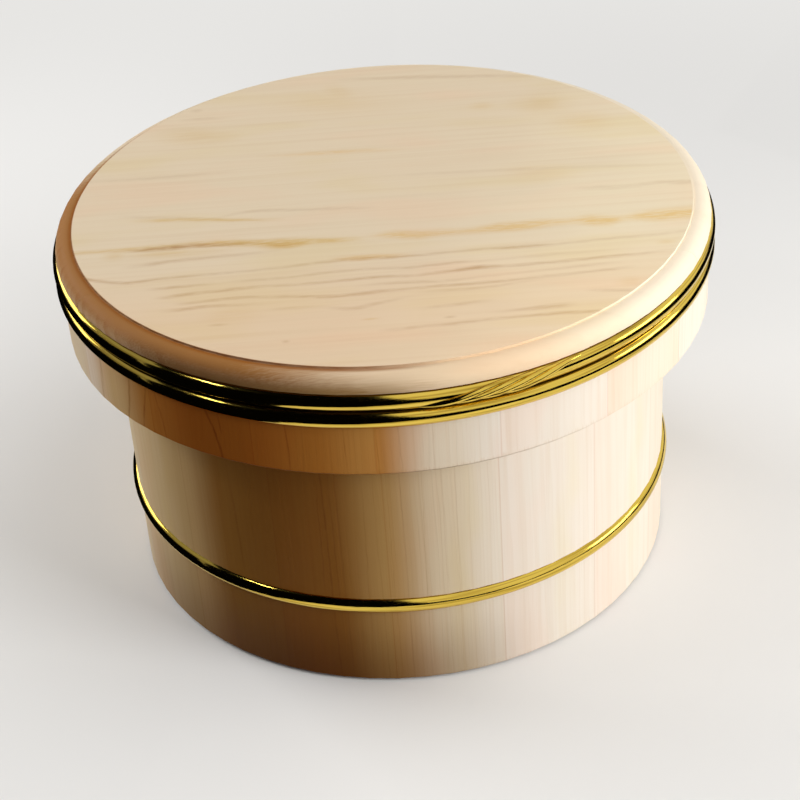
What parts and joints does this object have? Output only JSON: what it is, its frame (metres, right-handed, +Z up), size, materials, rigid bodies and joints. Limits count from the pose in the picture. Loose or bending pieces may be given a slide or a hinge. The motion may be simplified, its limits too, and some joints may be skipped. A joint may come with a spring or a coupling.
{
  "type": "rice tub with lid",
  "caption": "Round coopered wooden rice tub with brass wire hoops and a rounded cover lid that lifts off.",
  "frame": {"origin": "on the tub's axis, on the surface that the tub stands on", "axes": "+Z up along the tub's axis; the grain of the lid's board runs along X; the pictured side faces -Y"},
  "size_m": [0.3068, 0.3068, 0.1812],
  "materials": {
    "tub_wood": "planed bare wood, vertical grain",
    "lid_stave_wood": "planed bare wood, vertical grain",
    "lid_board_wood": "planed bare wood, level grain",
    "bamboo_pin": "split bamboo",
    "hoop_brass": "polished round wire"
  },
  "bodies": {
    "tub": {"tub_stave_01": "tub_wood", "tub_stave_02": "tub_wood", "tub_stave_03": "tub_wood", "tub_stave_04": "tub_wood", "tub_stave_05": "tub_wood", "tub_stave_06": "tub_wood", "tub_stave_07": "tub_wood", "tub_stave_08": "tub_wood", "tub_stave_09": "tub_wood", "tub_stave_10": "tub_wood", "tub_stave_11": "tub_wood", "tub_stave_12": "tub_wood", "tub_stave_13": "tub_wood", "tub_stave_14": "tub_wood", "tub_stave_15": "tub_wood", "tub_stave_16": "tub_wood", "tub_bottom_plank_1": "tub_wood", "tub_bottom_plank_2": "tub_wood", "tub_bottom_plank_3": "tub_wood", "tub_bottom_pin_1": "bamboo_pin", "tub_bottom_pin_2": "bamboo_pin", "tub_bottom_pin_3": "bamboo_pin", "tub_bottom_pin_4": "bamboo_pin", "tub_hoop_lower": "hoop_brass", "tub_hoop_upper": "hoop_brass"},
    "lid": {"lid_stave_01": "lid_stave_wood", "lid_stave_02": "lid_stave_wood", "lid_stave_03": "lid_stave_wood", "lid_stave_04": "lid_stave_wood", "lid_stave_05": "lid_stave_wood", "lid_stave_06": "lid_stave_wood", "lid_stave_07": "lid_stave_wood", "lid_stave_08": "lid_stave_wood", "lid_stave_09": "lid_stave_wood", "lid_stave_10": "lid_stave_wood", "lid_stave_11": "lid_stave_wood", "lid_stave_12": "lid_stave_wood", "lid_stave_13": "lid_stave_wood", "lid_stave_14": "lid_stave_wood", "lid_stave_15": "lid_stave_wood", "lid_stave_16": "lid_stave_wood", "lid_stave_17": "lid_stave_wood", "lid_stave_18": "lid_stave_wood", "lid_board_plank_1": "lid_board_wood", "lid_board_plank_2": "lid_board_wood", "lid_board_plank_3": "lid_board_wood", "lid_board_plank_4": "lid_board_wood", "lid_board_pin_1": "bamboo_pin", "lid_board_pin_2": "bamboo_pin", "lid_board_pin_3": "bamboo_pin", "lid_board_pin_4": "bamboo_pin", "lid_board_pin_5": "bamboo_pin", "lid_board_pin_6": "bamboo_pin", "lid_hoop_upper": "hoop_brass", "lid_hoop_lower": "hoop_brass"}
  },
  "joints": [
    {"name": "lid_lift", "type": "slide", "parent": "tub", "child": "lid", "axis": [0, 0, 1], "range_m": [0, 0.15]}
  ]
}
